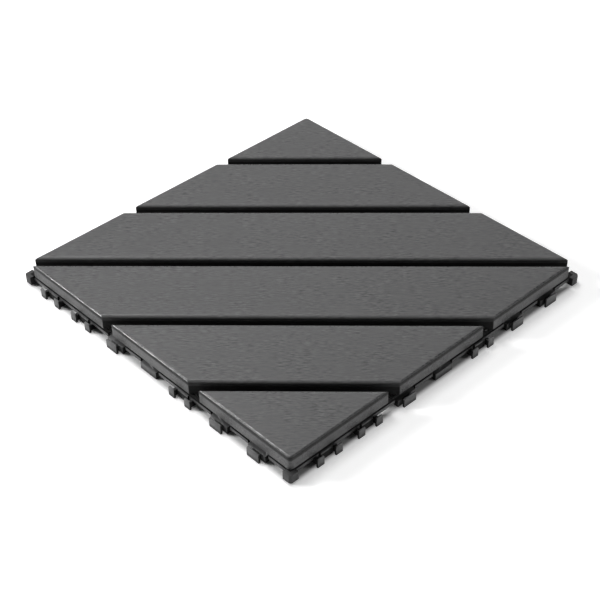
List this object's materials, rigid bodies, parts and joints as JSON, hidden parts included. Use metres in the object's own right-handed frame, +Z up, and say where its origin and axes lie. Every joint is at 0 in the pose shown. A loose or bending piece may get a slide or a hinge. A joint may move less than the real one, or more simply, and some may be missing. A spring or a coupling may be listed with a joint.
{
  "type": "interlocking deck tile",
  "caption": "Square outdoor floor tile with diagonal grained slats screwed to a moulded grid base whose clips and heads lock it to its neighbours.",
  "frame": {"origin": "middle of the tile on the ground plane, under its feet", "axes": "+Z up; the four sides lie along X and Y; the slats run along the diagonal from -X -Y to +X +Y"},
  "size_m": [0.3084, 0.3084, 0.02],
  "materials": {
    "slat_plastic": "satin, with fine grain along the slat",
    "base_plastic": "matt moulded",
    "screw_steel": "plain zinc"
  },
  "bodies": {
    "root": {"front_long_slat": "slat_plastic", "front_short_slat": "slat_plastic", "front_corner_slat": "slat_plastic", "rear_long_slat": "slat_plastic", "rear_short_slat": "slat_plastic", "rear_corner_slat": "slat_plastic", "base_grid": "base_plastic", "fixing_screws": "screw_steel"}
  },
  "joints": []
}
